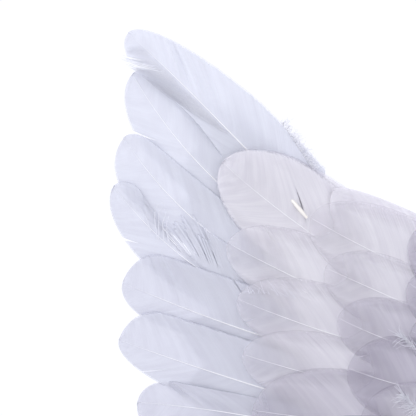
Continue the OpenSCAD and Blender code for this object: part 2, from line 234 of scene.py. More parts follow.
# %% The barb streaks
def make_barb_streaks():
    group, given, out = new_group(
        "barb_streaks",
        [("Map", "NodeSocketVector", None), ("Barbs", "NodeSocketFloat", 260.0),
         ("Seed", "NodeSocketFloat", 0.0)],
        [("Streak", "NodeSocketFloat"), ("Band", "NodeSocketFloat"), ("Edge", "NodeSocketFloat"),
         ("Ridge", "NodeSocketFloat"), ("Rim", "NodeSocketFloat")])
    split = group.nodes.new("ShaderNodeSeparateXYZ")
    group.links.new(given.outputs["Map"], split.inputs[0])
    along, across = split.outputs[0], split.outputs[1]
    outward = math_node(group, "ABSOLUTE", math_node(group, "SUBTRACT", across, 0.5))
    outward = math_node(group, "MULTIPLY", outward, 2.0)

    def stretched(along_scale, across_scale):
        join = group.nodes.new("ShaderNodeCombineXYZ")
        group.links.new(math_node(group, "MULTIPLY", along, along_scale), join.inputs[0])
        group.links.new(math_node(group, "MULTIPLY", across, across_scale), join.inputs[1])
        group.links.new(given.outputs["Seed"], join.inputs[2])
        return join.outputs[0]

    fine = noise_node(group, stretched(given.outputs["Barbs"], 3.0), 1.0, 2.0, 0.6)
    broad = noise_node(group, stretched(26.0, 1.6), 1.0, 3.0, 0.55)
    ragged = noise_node(group, stretched(given.outputs["Barbs"], 1.5), 1.3, 1.0)
    reach = math_node(group, "MULTIPLY", mapped(group, ragged, 0.35, 0.65), 0.035)
    group.links.new(mapped(group, fine, 0.3, 0.7), out.inputs["Streak"])
    group.links.new(mapped(group, broad, 0.3, 0.7), out.inputs["Band"])
    tip = mapped(group, along, 0.45, 0.95)
    side = mapped(group, math_node(group, "ADD", outward, math_node(group, "MULTIPLY", fine, 0.2)),
                  0.7, 1.15)
    group.links.new(math_node(group, "MAXIMUM", tip, side), out.inputs["Rim"])
    fringe = math_node(group, "ADD", outward, reach)
    group.links.new(mapped(group, fringe, 0.972, 1.0), out.inputs["Edge"])
    ridge = math_node(group, "ADD", fine, math_node(group, "MULTIPLY", broad, 1.5))
    group.links.new(ridge, out.inputs["Ridge"])
    return group


BARB_STREAKS = make_barb_streaks()
print(BARB_STREAKS.name, "has", len(BARB_STREAKS.nodes), "nodes")

# %% Feather finishes
def new_material(name, **fixed):
    """A Principled material; fixed values go straight on the shader's sockets."""
    material = bpy.data.materials.new(name)
    material.use_nodes = True
    shader = material.node_tree.nodes["Principled BSDF"]
    for label, value in fixed.items():
        shader.inputs[label.replace("_", " ")].default_value = value
    return material, material.node_tree, shader


def vane_material(name, light, deep, cover, barbs):
    """Feather vane: fine streaks, broad soft bands, painted shade, a frayed edge and light shining
    through.
    """
    material, tree, shader = new_material(name, Roughness=0.55, Specular_IOR_Level=0.3)
    # tint is painted shade: it darkens the vane towards deep on the lower and inner feathers,
    # where layers pile up and the lamp from the upper left reaches less.
    tint = face_value(tree, "tint")
    streaks = group_node(tree, BARB_STREAKS, Barbs=barbs, Map=map_node(tree, "barbs"),
                         Seed=math_node(tree, "MULTIPLY", tint, 400.0))
    shade = math_node(tree, "MULTIPLY", streaks["Streak"], 0.14)
    shade = math_node(tree, "ADD", shade, math_node(tree, "MULTIPLY", streaks["Band"], 0.2))
    shade = math_node(tree, "ADD", shade, tint, clamp=True)
    colour = mixed(tree, shade, light, deep)
    tree.links.new(colour, shader.inputs["Base Color"])
    relief = bump_node(tree, streaks["Ridge"], 0.35, 0.4 * MM)
    tree.links.new(relief, shader.inputs["Normal"])
    faded = math_node(tree, "MULTIPLY", face_value(tree, "soft"), streaks["Rim"])
    clear = mapped(tree, streaks["Edge"], 0.0, 1.0, cover, 0.0)
    clear = math_node(tree, "MULTIPLY", clear, math_node(tree, "SUBTRACT", 1.0, faded))
    tree.links.new(clear, shader.inputs["Alpha"])
    glow = tree.nodes.new("ShaderNodeBsdfTranslucent")
    tree.links.new(colour, glow.inputs["Color"])
    tree.links.new(relief, glow.inputs["Normal"])
    join = tree.nodes.new("ShaderNodeMixShader")
    join.inputs[0].default_value = 0.14
    tree.links.new(shader.outputs[0], join.inputs[1])
    tree.links.new(glow.outputs[0], join.inputs[2])
    tree.links.new(join.outputs[0], tree.nodes["Material Output"].inputs["Surface"])
    return material


def shaft_material():
    """Keratin: cream at the quill, white and slightly clear towards the tip."""
    material, tree, shader = new_material(
        "shaft", Roughness=0.32, Coat_Weight=0.3, Coat_Roughness=0.2)
    split = tree.nodes.new("ShaderNodeSeparateXYZ")
    tree.links.new(map_node(tree, "barbs"), split.inputs[0])
    place = tree.nodes.new("ShaderNodeTexCoord")
    grain = noise_node(tree, place.outputs["Object"], 900.0, 2.0)
    age = mapped(tree, split.outputs[0], 0.0, 0.5)
    colour = mixed(tree, age, (0.90, 0.86, 0.79), (0.95, 0.95, 0.97))
    colour = mixed(tree, mapped(tree, grain, 0.3, 0.7, 0.0, 0.25), colour, (0.80, 0.77, 0.76))
    tree.links.new(colour, shader.inputs["Base Color"])
    return material


def barb_material():
    """Loose barbs catch more light than a closed vane, so they are almost white."""
    material, tree, shader = new_material("loose_barbs", Roughness=0.6, Alpha=0.75)
    fine = noise_node(tree, map_node(tree, "barbs"), 90.0, 2.0)
    colour = mixed(tree, mapped(tree, fine, 0.35, 0.65), (0.94, 0.95, 0.99), (0.78, 0.78, 0.85))
    tree.links.new(colour, shader.inputs["Base Color"])
    return material


# deep is the dark of the barb streaks and also the colour of the painted shade.
LONG_VANE = vane_material("long_vane", (0.87, 0.885, 0.94), (0.64, 0.635, 0.71), 0.78, 420.0)
COVERT_VANE = vane_material("covert_vane", (0.95, 0.935, 0.96), (0.62, 0.59, 0.67), 0.78, 320.0)
SHAFT, BARB = shaft_material(), barb_material()
print("feather finishes:", [m.name for m in (LONG_VANE, COVERT_VANE, SHAFT, BARB)])

# %% [markdown]
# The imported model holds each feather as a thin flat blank. Every blank is read back as a bed:
# where the quill ends, where the tip is, which way the blank faces, and how wide it is. The
# modelled feather is then laid exactly on that bed, so it goes wherever the model puts it. A
# blank's longest direction is its shaft and its thinnest is the way it faces.

# %% Read the feather beds
def connected(vert):
    """Every vertex of the piece of mesh that a vertex belongs to, in the order met."""
    found, stack = {vert: True}, [vert]
    while stack:
        for edge in stack.pop().link_edges:
            for other in edge.verts:
                if other not in found:
                    found[other] = True
                    stack.append(other)
    return list(found)


def islands(node):
    """The separate solids of a CAD node, each as an array of its corner points."""
    bm = bmesh.new()
    bm.from_mesh(bpy.data.objects[node].data)
    bmesh.ops.remove_doubles(bm, verts=bm.verts, dist=1e-6)
    left, groups = dict.fromkeys(bm.verts), []
    while left:
        found = connected(next(iter(left)))
        for vert in found:
            del left[vert]
        groups.append(np.array([v.co[:] for v in found]))
    bm.free()
    return groups


def feather_bed(points, side):
    """Quill end, tip, directions and width of one flat blank."""
    middle = points.mean(axis=0)
    axes = np.linalg.svd(points - middle)[2]
    run, spread, facing = axes
    along = (points - middle) @ run
    if np.ptp(((points - middle) @ spread)[along > along.max() - 2 * MM]) > 2 * MM:
        run, along = -run, -along
    quill = points[along < along.min() + 1 * MM].mean(axis=0)
    tip = points[along > along.max() - 1 * MM].mean(axis=0)
    facing = facing if facing[1] < 0 else -facing
    run = (tip - quill) / np.linalg.norm(tip - quill)
    under = np.cross(facing, run) * -side
    across = (points - quill) @ under
    return {
        "quill": Vector(quill), "run": Vector(run), "under": Vector(under),
        "facing": Vector(facing), "length": float(np.linalg.norm(tip - quill)),
        "open": float(-across.min()), "covered": float(across.max()), "side": side,
    }


FAN_MIDDLE = Vector((0.002, 0.0, 0.024))


def beds(node, side):
    """All beds of a row, from the leading edge down."""
    found = [feather_bed(points, side) for points in islands(node)]

    def turn(bed):
        tip = bed["quill"] + bed["run"] * bed["length"]
        sideways = -side * (tip.x - side * FAN_MIDDLE.x)
        return math.atan2(tip.z - FAN_MIDDLE.z, sideways) % (2 * math.pi)

    return sorted(found, key=turn)


for row in ("under_feathers", "primary_feathers", "greater_coverts"):
    row_beds = beds("left_" + row, LEFT)
    print(row, len(row_beds), "feathers of", [round(b["length"] / MM) for b in row_beds], "mm")

# %% [markdown]
# A vane is not a sheet but hundreds of barbs zipped side by side. Each half starts as a flat
# grid with one row of faces per bundle of barbs. Where the vane has split, the edges of one row
# are cut loose with `split_edges`, and in a frayed stretch every row is. Then the grid is bent
# to shape: a barb leaves the shaft, sweeps towards the tip and ends on the feather's outline,
# and the vertices on both sides of a split move apart. Solidify closes it as a thin skin.

# %% The shape of a vane
LOOK = {
    "rows": 60, "columns": 7, "round_from": 0.6, "round_power": 2.2, "bow": 0.02, "rise": 0.0,
    "start": 0.08, "sweep": 0.19, "camber": 1.4 * MM, "wave": 1.0 * MM, "roll_from": 0.8,
    "roll": 0.0, "slits": (), "folds": (), "frayed": (), "dents": (), "open": None,
    "covered": None, "open_round": None, "widen": 1.0, "soft": 0.1, "tint": 0.3, "fringe": (),
    "quill_lift": 0.0, "quill": 1.0,
}
VANE_SKIN, BARB_SKIN = 0.25 * MM, 0.12 * MM
FELT_FACE = -21.5 * MM      # no feather reaches behind the face of the felt


def smooth(x, low, high):
    """0 below low, 1 above high, and a soft step between."""
    x = min(max((x - low) / (high - low), 0.0), 1.0)
    return x * x * (3 - 2 * x)


def outline(share, half, bed, look):
    """Where the vane's edge lies at a share of the length, in metres across the blank."""
    start, power = look["round_from"], look["round_power"]
    most = look["covered"] or bed["covered"] * look["widen"]
    if half < 0:
        most = look["open"] or bed["open"] * look["widen"]
        start, power = look["open_round"] or (start, power)
    past = max((share - start) / (1.0 - start), 0.0)
    edge = half * most * max(1.0 - past ** power, 0.0) ** 0.5
    for side, at, width, depth in look["dents"]:
        if side == half:
            edge -= half * depth * math.exp(-((share - at) / width) ** 2)
    return edge


def spine(share, bed, look):
    """Middle line of the shaft in the feather's own plane: along, across, out."""
    bow = look["bow"] * 4 * share * (1 - share)
    rise = look["rise"] * smooth(share, 0.28, 0.55)
    return Vector((share, bow, 0.0)) * bed["length"] + Vector((0.0, 0.0, rise))


def vane_place(share, reach, half, bed, look, seed):
    """A point of the vane; share is where its barb leaves the shaft, reach runs to the edge."""
    sweep = min(look["sweep"], 0.6 * (1.0 - share)) * (0.5 + 0.5 * smooth(share, -0.1, 0.25))
    here = min(share + sweep * reach ** 1.25, 1.0)
    root = spine(share, bed, look).y
    across = root + (outline(share + sweep, half, bed, look) - root) * reach
    middle = spine(here, bed, look)
    turn = look["roll"] * smooth(here, look["roll_from"], 1.0)
    away = across - middle.y
    sag = look["camber"] * reach ** 2 * (1.0 if half > 0 else 0.35)
    ripple = noise.noise(Vector((here * 4.5, half * reach * 1.1, seed)))
    ripple += 0.4 * noise.noise(Vector((here * 13.0, half * reach * 2.5, seed + 7)))
    lift = look["wave"] * 2.0 * ripple * min(reach * 2.0, 1.0) - sag
    for side, at, width, height in look["folds"]:
        if side == half:
            lift += height * math.exp(-((share - at) / width) ** 2) * math.sin(2.6 * reach)
    return Vector((middle.x, middle.y + away * math.cos(turn) - lift * math.sin(turn) * half,
                   middle.z + abs(away) * math.sin(turn) * half + lift * math.cos(turn)))


# %% One half of a vane
def once(items):
    """Each item once and in the order met, so that every run goes through them alike."""
    return list(dict.fromkeys(items))


def faces_of(verts):
    """The faces that touch some vertices."""
    return once(face for vert in verts for face in vert.link_faces)


def write_map(faces, uv, place):
    """Map the corners of a flat grid that spans -0.5 to 0.5, from their shares across it."""
    for face in faces:
        for loop in face.loops:
            loop[uv].uv = place(loop.vert.co.x + 0.5, loop.vert.co.y + 0.5)


def in_frayed(share, half, look):
    """Whether a frayed stretch of this half holds a share of the length."""
    return any(side == half and low <= share <= high for side, low, high, _ in look["frayed"])


def barb_root(x, look):
    """Where along the shaft a row of the grid starts: the rows crowd together at the tip."""
    return look["start"] + (1.0 - look["start"]) * (1.0 - (1.0 - x) ** 1.3)


def add_half_vane(bm, bed, look, half, draw, seed):
    """A barbed half vane; half is +1 for the covered half and -1 for the open one."""
    rows, columns = look["rows"], look["columns"]
    uv = bm.loops.layers.uv["barbs"]
    grid = bmesh.ops.create_grid(bm, x_segments=rows, y_segments=columns, size=0.5)
    faces = faces_of(grid["verts"])
    write_map(faces, uv, lambda x, y: (barb_root(x, look), 0.5 + 0.5 * half * y))
    cuts = {}
    for side, at, start, end, gap in look["slits"]:
        if side == half:
            row = min(range(1, rows), key=lambda r: abs(barb_root(r / rows, look) - at))
            cuts[row] = (start, end, gap)
    for row in range(1, rows):
        if in_frayed(barb_root(row / rows, look), half, look):
            cuts[row] = (draw.uniform(0.15, 0.4), 1.0, 0.0)
    loose = []
    for edge in once(edge for face in faces for edge in face.edges):
        a, b = edge.verts
        row = round((a.co.x + 0.5) * rows)
        if row in cuts and abs(a.co.x - b.co.x) < 1e-6:
            if cuts[row][0] <= (a.co.y + b.co.y) / 2 + 0.5 <= cuts[row][1]:
                loose.append(edge)
    bmesh.ops.split_edges(bm, edges=loose)
    stray = [draw.uniform(-1.0, 1.0) for _ in range(rows)]
    moved, tip_verts = [], []
    for vert in once(vert for face in faces for vert in face.verts):
        x, reach = vert.co.x + 0.5, min(max(vert.co.y + 0.5, 0.0), 1.0)
        middle = sum(f.calc_center_median().x for f in vert.link_faces) / len(vert.link_faces)
        strip = min(int((middle + 0.5) * rows), rows - 1)
        share, out, longer = barb_root(x, look), 0.0, 0.0
        for row, (start, end, gap) in cuts.items():
            if gap and start < reach < end or gap and end == 1.0 and reach > start:
                away = (middle + 0.5) * rows - row
                run = (reach - start) / (end - start)
                pull = gap * (run ** 1.3 if end == 1.0 else math.sin(math.pi * run))
                share += math.copysign(pull, away) * math.exp(-abs(away) / rows * 16)
        for side, low, high, thin in look["frayed"]:
            if side == half and low <= barb_root(x, look) <= high:
                centre = barb_root((strip + 0.5) / rows, look)
                share += (centre - share) * thin * reach + 0.01 * stray[strip] * reach ** 2
                longer = 0.2 * stray[strip] * reach
                out = 1.4 * MM * stray[strip // 3] * reach ** 2
        share = min(max(share, look["start"]), 1.0)
        point = vane_place(share, reach, half, bed, look, seed)
        inner = vane_place(share, reach * 0.8, half, bed, look, seed)
        point += (point - inner) * 5 * (longer + 0.004 * stray[strip] * reach)
        point.z += out
        moved.append((vert, point))
        if x > 0.9999:
            tip_verts.append(vert)
    for vert, point in moved:
        vert.co = point
    bmesh.ops.remove_doubles(bm, verts=tip_verts, dist=0.05 * MM)


# %% A shaft
def add_shaft(bm, bed, look, thick):
    """A tapered tube from the quill's end to the tip, rolled up from a grid."""
    uv = bm.loops.layers.uv["barbs"]
    verts = bmesh.ops.create_grid(bm, x_segments=26, y_segments=8, size=0.5)["verts"]
    faces = faces_of(verts)
    write_map(faces, uv, lambda x, y: (x, y))
    for vert in verts:
        share, turn = vert.co.x + 0.5, 2 * math.pi * (vert.co.y + 0.5)
        radius = thick * (1.0 - 0.88 * share ** 0.75) * (0.6 + 0.4 * smooth(share, 0.0, 0.03))
        radius *= 1.0 + (look["quill"] - 1.0) * (1.0 - smooth(share, 0.0, 0.25))
        middle = spine(share * 0.985, bed, look)
        middle.z += look["quill_lift"] * (1.0 - smooth(share, 0.02, 0.17)) + 0.5 * radius
        vert.co = middle + Vector((0.0, math.cos(turn), math.sin(turn))) * radius
    bmesh.ops.remove_doubles(bm, verts=verts, dist=1e-6)
    rims = once(e for f in faces if f.is_valid for e in f.edges if e.is_boundary)
    bmesh.ops.holes_fill(bm, edges=rims, sides=0)


# %% Loose barbs
def add_fringe(bm, bed, look, draw, seed):
    """Loose barbs: narrow ribbons that follow the vane and then stray past its edge."""
    uv = bm.loops.layers.uv["barbs"]
    look = {**look, "sweep": look["sweep"] + 0.12, "wave": 0.4 * look["wave"]}
    for half, low, high, count, inner, outer, stray in look["fringe"]:
        for _ in range(count):
            share, far = draw.uniform(low, high), draw.uniform(0.6, 1.0) * outer
            drift, lean = draw.uniform(-0.03, 0.05) * stray, draw.uniform(0.3, 1.5) * MM * stray
            width = draw.uniform(0.25, 0.55) * MM
            strip = bmesh.ops.create_grid(bm, x_segments=8, y_segments=1, size=0.5)["verts"]
            write_map(faces_of(strip), uv, lambda x, y: (share, 0.5 + 0.4 * half * x))
            for vert in strip:
                run, beside = vert.co.x + 0.5, vert.co.y
                reach = inner + (far - inner) * run
                along = min(share + drift * run ** 2, 0.99)
                point = vane_place(along, reach, half, bed, look, seed)
                point.x += beside * width * (1.0 - 0.8 * run)
                point.z += 0.5 * MM + lean * run ** 2
                vert.co = point


# %% Whole rows of feathers
def finish_object(name, bm, materials):
    """Store a bmesh as an object at the origin."""
    mesh = bpy.data.meshes.new(name)
    bm.to_mesh(mesh)
    bm.free()
    for material in materials:
        mesh.materials.append(material)
    mesh.shade_smooth()
    made = bpy.data.objects.new(name, mesh)
    scene.collection.objects.link(made)
    return made


def sharpen(bm, angle=1.0):
    """Keep rims crisp, so that a thin skin isn't shaded as if its edge were round."""
    for edge in bm.edges:
        edge.smooth = edge.calc_face_angle(0.0) < angle


def add_feather(whole, bed, look, draw, seed, thick):
    """One feather on its bed, with a shaft, two closed half vanes and its own painted shade."""
    one = bmesh.new()
    one.loops.layers.uv.new("barbs")
    shade = one.faces.layers.float.new("tint")
    soft = one.faces.layers.float.new("soft")
    for half in (-1, 1):
        add_half_vane(one, bed, look, half, draw, seed)
    bmesh.ops.solidify(one, geom=one.faces[:], thickness=VANE_SKIN)
    vane_faces = set(one.faces)
    add_fringe(one, bed, look, draw, seed)
    strips = [face for face in one.faces if face not in vane_faces]
    if strips:
        bmesh.ops.solidify(one, geom=strips, thickness=BARB_SKIN)
    loose_faces = set(one.faces) - vane_faces
    add_shaft(one, bed, look, thick)
    # Painted shade of this feather, with a small random spread.
    value = look["tint"] + draw.uniform(0.0, 0.03)
    for face in one.faces:
        face[shade], face[soft] = value, look["soft"]
        face.material_index = 0 if face in vane_faces else 2 if face in loose_faces else 1
    turned = Matrix((bed["run"], bed["under"], bed["facing"])).transposed().to_4x4()
    bmesh.ops.transform(one, matrix=Matrix.Translation(bed["quill"]) @ turned, verts=one.verts)
    for vert in one.verts:
        vert.co.y = min(vert.co.y, FELT_FACE)
    bmesh.ops.recalc_face_normals(one, faces=one.faces)
    sharpen(one)
    scratch = bpy.data.meshes.new("one_feather")
    one.to_mesh(scratch)
    one.free()
    whole.from_mesh(scratch)
    bpy.data.meshes.remove(scratch)


def feather_row(wing, row, looks, thick, vane, slot):
    """All feathers of one row of one wing, laid on their beds."""
    side = LEFT if wing == "left" else RIGHT
    whole = bmesh.new()
    whole.loops.layers.uv.new("barbs")
    whole.faces.layers.float.new("tint")
    whole.faces.layers.float.new("soft")
    for number, bed in enumerate(beds(f"{wing}_{row}", side)):
        draw = random.Random(f"{wing} {row} {number}")
        add_feather(whole, bed, {**LOOK, **looks(number, draw)}, draw, number * 3.7 + side, thick)
    made = finish_object(f"{wing}_{row}_modelled", whole, [vane, SHAFT, BARB])
    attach(made, f"{wing}_wing")
    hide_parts(f"{wing}_{row}")
    print(made.name, len(made.data.polygons), "faces")


# %% [markdown]
# Every row has its own way of growing, and some long feathers have a story of their own: the
# first has a broad outer vane and a frayed inner one, the second to the fourth bow downwards,
# and the seventh has rolled over. The looks below give those differences, and all others are
# small ones, drawn from each feather's own seeded random numbers. In a look, `open` and
# `covered` are the widths of the two half vanes; a dent, fold, split, frayed stretch or fringe
# starts with its half, +1 for the covered one and -1 for the open one.

# %% Looks of the feathers
# Each look's tint is painted shade: near 0 on the leading feathers, higher on the lower and inner
# ones.
LONG_LOOKS = {
    0: {"bow": -0.015, "open": 38 * MM, "open_round": (0.42, 1.4), "covered": 18 * MM,
        "round_from": 0.85, "round_power": 2.0, "rows": 130, "sweep": 0.24, "tint": 0.0,
        "start": -0.04, "rise": 8 * MM, "quill_lift": 10.5 * MM, "quill": 2.0,
        "camber": 1.5 * MM, "dents": ((1, 0.6, 0.2, 7 * MM),),
        "frayed": ((1, 0.6, 0.84, 0.3),),
        "fringe": ((1, 0.42, 0.8, 170, 0.1, 1.1, 0.4), (1, 0.78, 0.93, 50, 0.1, 0.95, 0.2)),
        "folds": ((-1, 0.72, 0.02, 1.6 * MM), (-1, 0.66, 0.015, -1.4 * MM),
                  (-1, 0.58, 0.02, 1.4 * MM), (-1, 0.5, 0.015, -1.2 * MM))},
    1: {"bow": 0.07, "covered": 38 * MM, "round_from": 0.7, "round_power": 1.7, "open": 21 * MM,
        "open_round": (0.8, 2.0), "folds": ((1, 0.6, 0.03, -1.2 * MM),), "tint": 0.03},
    2: {"bow": 0.08, "covered": 36 * MM, "round_from": 0.8, "round_power": 2.0, "open": 12 * MM,
        "open_round": (0.9, 2.0), "tint": 0.1},
    3: {"bow": 0.09, "covered": 42 * MM, "round_from": 0.6, "round_power": 1.8, "open": 12 * MM,
        "open_round": (0.9, 2.0), "wave": 1.4 * MM, "rows": 100, "tint": 0.12,
        "dents": ((-1, 0.78, 0.09, 20 * MM),), "frayed": ((-1, 0.42, 0.6, 0.3),),
        "fringe": ((-1, 0.45, 0.72, 26, 0.2, 1.5, 0.8),)},
    4: {"bow": 0.02, "covered": 23.5 * MM, "round_from": 0.8, "round_power": 2.0, "open": 32 * MM,
        "open_round": (0.85, 2.5), "folds": ((-1, 0.75, 0.015, 1.4 * MM),), "tint": 0.3},
    5: {"bow": 0.01, "covered": 26 * MM, "round_from": 0.7, "round_power": 1.6, "open": 32 * MM,
        "open_round": (0.85, 2.2), "slits": ((1, 0.7, 0.4, 1.0, 0.005),), "tint": 0.25},
    6: {"bow": -0.03, "open": 22 * MM, "covered": 25 * MM, "round_from": 0.85,
        "round_power": 2.2, "roll": 0.5, "roll_from": 0.8, "wave": 1.3 * MM, "tint": 0.45,
        "folds": ((-1, 0.72, 0.02, 2.0 * MM), (-1, 0.78, 0.015, -1.6 * MM),
                  (1, 0.82, 0.02, 1.5 * MM))},
}


def some_slits(draw, count):
    """Splits that run to the edge: half, place, start, end and gap of each."""
    return tuple((draw.choice((-1, 1)), draw.uniform(0.3, 0.85), draw.uniform(0.4, 0.75),
                  1.0, draw.uniform(0.003, 0.009)) for _ in range(count))


def long_look(number, draw):
    free = {"bow": draw.uniform(-0.01, 0.04), "slits": some_slits(draw, draw.choice((0, 1, 2))),
            "wave": draw.uniform(0.7, 1.3) * MM, "widen": 1.15, "tint": draw.uniform(0.3, 0.6)}
    return {**free, **LONG_LOOKS.get(number, {})}


def under_look(number, draw):
    return {"bow": draw.uniform(0.0, 0.04), "rows": 44, "columns": 5,
            "tint": draw.uniform(0.2, 0.5)}


COVERT_LOOKS = {
    0: {"bow": 0.03, "open": 18 * MM, "tint": 0.1, "rise": -1.5 * MM},
    1: {"bow": 0.03, "covered": 39 * MM, "round_from": 0.6, "round_power": 1.9, "open": 38 * MM,
        "open_round": (0.65, 1.7), "slits": ((-1, 0.48, 0.1, 0.62, 0.006),), "tint": 0.0,
        "soft": 0.2, "sweep": 0.36, "rows": 90, "columns": 10},
    2: {"bow": 0.02, "wave": 1.6 * MM, "open": 34 * MM, "covered": 30 * MM, "tint": 0.0},
    3: {"bow": 0.02, "wave": 1.6 * MM, "open": 34 * MM, "covered": 30 * MM, "tint": 0.12,
        "fringe": ((-1, 0.6, 0.95, 22, 0.6, 1.1, 1.8),)},
    4: {"bow": 0.02, "open": 32 * MM, "covered": 30 * MM, "tint": 0.15},
}


def covert_look(number, draw):
    free = {"bow": draw.uniform(0.0, 0.04), "slits": some_slits(draw, draw.choice((0, 1, 1, 2))),
            "round_from": 0.55, "wave": draw.uniform(0.9, 1.6) * MM, "widen": 1.4,
            "tint": draw.uniform(0.3, 0.6), "soft": 0.75, "sweep": 0.27}
    return {**free, **COVERT_LOOKS.get(number, {})}


def small_look(number, draw):
    return {"bow": draw.uniform(0.0, 0.04), "slits": some_slits(draw, draw.choice((0, 1))),
            "rows": 44, "columns": 6, "round_from": 0.55, "wave": draw.uniform(0.7, 1.2) * MM,
            "widen": 1.25, "tint": draw.uniform(0.35, 0.75), "soft": 0.8, "sweep": 0.25}


MEDIAN_LOOKS = {
    0: {"open": 12 * MM, "tint": 0.1, "soft": 0.1, "round_from": 0.4},
    1: {"open": 36 * MM, "covered": 34 * MM, "tint": 0.0, "round_from": 0.4},
    2: {"open": 30 * MM, "covered": 28 * MM, "tint": 0.12},
    3: {"open": 30 * MM, "covered": 28 * MM, "tint": 0.5},
}


def median_look(number, draw):
    free = {"rows": 52, "widen": 1.4, "soft": 0.9}
    return {**small_look(number, draw), **free, **MEDIAN_LOOKS.get(number, {})}


# %% Lay the rows
FEATHER_ROWS = (
    ("under_feathers", under_look, 0.8 * MM, LONG_VANE, "feather_long"),
    ("primary_feathers", long_look, 0.95 * MM, LONG_VANE, "feather_long"),
    ("greater_coverts", covert_look, 0.8 * MM, COVERT_VANE, "feather_covert"),
    ("median_coverts", median_look, 0.7 * MM, COVERT_VANE, "feather_covert"),
    ("lesser_coverts", small_look, 0.6 * MM, COVERT_VANE, "feather_covert"),
    ("marginal_coverts", small_look, 0.5 * MM, COVERT_VANE, "feather_covert"),
)
for wing in ("left", "right"):
    for row in FEATHER_ROWS:
        feather_row(wing, *row)

# %% [markdown]
# The rest of the costume isn't feathers. Two small groups give its finishes their detail:
# `weave` crosses ribs along and across a band, and `fine_grain` is a two-scale mottle for
# felt, plastic, metal and the floor.

# %% Groups for cloth, plastic and metal
def make_weave():
    """Crossed ribs with a little fuzz."""
    group, given, out = new_group(
        "weave", [("Map", "NodeSocketVector", None), ("Threads", "NodeSocketFloat", 1000.0)],
        [("Rib", "NodeSocketFloat"), ("Fuzz", "NodeSocketFloat")])
    split = group.nodes.new("ShaderNodeSeparateXYZ")
    group.links.new(given.outputs["Map"], split.inputs[0])

    def wave(coordinate):
        turned = math_node(group, "MULTIPLY", coordinate, given.outputs["Threads"])
        return math_node(group, "ABSOLUTE", math_node(group, "SINE", turned))

    rib = math_node(group, "MULTIPLY", wave(split.outputs[0]), wave(split.outputs[1]))
    group.links.new(rib, out.inputs["Rib"])
    group.links.new(noise_node(group, given.outputs["Map"], 350.0, 4.0), out.inputs["Fuzz"])
    return group


def make_fine_grain():
    """Broad mottle and fine grain, scaled together."""
    group, given, out = new_group(
        "fine_grain", [("Vector", "NodeSocketVector", None), ("Size", "NodeSocketFloat", 1.0)],
        [("Mottle", "NodeSocketFloat"), ("Grain", "NodeSocketFloat")])
    scaled = group.nodes.new("ShaderNodeVectorMath")
    scaled.operation = "SCALE"
    group.links.new(given.outputs["Vector"], scaled.inputs[0])
    group.links.new(given.outputs["Size"], scaled.inputs["Scale"])
    mottle = noise_node(group, scaled.outputs[0], 60.0, 3.0)
    grain = noise_node(group, scaled.outputs[0], 1200.0, 2.0)
    group.links.new(mapped(group, mottle, 0.35, 0.65), out.inputs["Mottle"])
    group.links.new(mapped(group, grain, 0.3, 0.7), out.inputs["Grain"])
    return group


WEAVE, FINE_GRAIN = make_weave(), make_fine_grain()
print("groups:", [group.name for group in bpy.data.node_groups])


# %% Materials of cloth, plastic and metal
def grained_material(name, light, deep, rough, size=1.0, bump_depth=0.1 * MM, **fixed):
    """A mottled, grained surface whose colour, roughness and relief all vary."""
    material, tree, shader = new_material(name, **fixed)
    place = tree.nodes.new("ShaderNodeTexCoord")
    grain = group_node(tree, FINE_GRAIN, Size=size, Vector=place.outputs["Object"])
    amount = math_node(tree, "MULTIPLY", grain["Mottle"], 0.6)
    amount = math_node(tree, "ADD", amount, math_node(tree, "MULTIPLY", grain["Grain"], 0.4))
    tree.links.new(mixed(tree, amount, light, deep), shader.inputs["Base Color"])
    tree.links.new(mapped(tree, amount, 0.0, 1.0, *rough), shader.inputs["Roughness"])
    tree.links.new(bump_node(tree, grain["Grain"], 0.5, bump_depth), shader.inputs["Normal"])
    return material


def woven_material(name, light, deep, threads, map_name=None):
    """Woven cloth on a map in metres, or on Object coordinates where there is none."""
    material, tree, shader = new_material(name, Roughness=0.85, Sheen_Weight=0.25)
    if map_name:
        source = map_node(tree, map_name)
    else:
        place = tree.nodes.new("ShaderNodeTexCoord")
        turn = tree.nodes.new("ShaderNodeMapping")
        turn.inputs["Rotation"].default_value = (math.radians(90), 0.0, 0.0)
        tree.links.new(place.outputs["Object"], turn.inputs["Vector"])
        source = turn.outputs[0]
    weave = group_node(tree, WEAVE, Threads=threads, Map=source)
    worn = mapped(tree, weave["Fuzz"], 0.35, 0.65, 0.0, 0.4)
    shade = math_node(tree, "SUBTRACT", 1.0, weave["Rib"])
    shade = math_node(tree, "MULTIPLY", shade, 0.6)
    shade = math_node(tree, "ADD", shade, worn, clamp=True)
    tree.links.new(mixed(tree, shade, light, deep), shader.inputs["Base Color"])
    tree.links.new(bump_node(tree, weave["Rib"], 0.6, 0.3 * MM), shader.inputs["Normal"])
    return material


PLATE = grained_material("matte_plate", (0.86, 0.86, 0.87), (0.78, 0.78, 0.80), (0.45, 0.6))
CLIP = grained_material("glossy_clip", (0.86, 0.86, 0.87), (0.80, 0.80, 0.82), (0.22, 0.38), 2.0,
                        0.05 * MM, Coat_Weight=0.2)
STEEL = grained_material("drawn_steel", (0.66, 0.67, 0.69), (0.50, 0.51, 0.53), (0.24, 0.42), 1.5,
                         0.04 * MM, Metallic=1.0)
CHROME = grained_material("plated_ring", (0.80, 0.80, 0.82), (0.66, 0.66, 0.69), (0.07, 0.2), 2.0,
                          0.02 * MM, Metallic=1.0)
CRIMP = grained_material("crimped_aluminium", (0.76, 0.77, 0.79), (0.60, 0.61, 0.63), (0.3, 0.5),
                         2.0, 0.06 * MM, Metallic=1.0)
FELT = grained_material("pressed_felt", (0.90, 0.90, 0.92), (0.78, 0.78, 0.81), (0.88, 0.98), 0.8,
                        0.5 * MM, Sheen_Weight=0.35)
THREAD = grained_material("thread", (0.90, 0.90, 0.91), (0.74, 0.74, 0.76), (0.6, 0.8), 3.0)
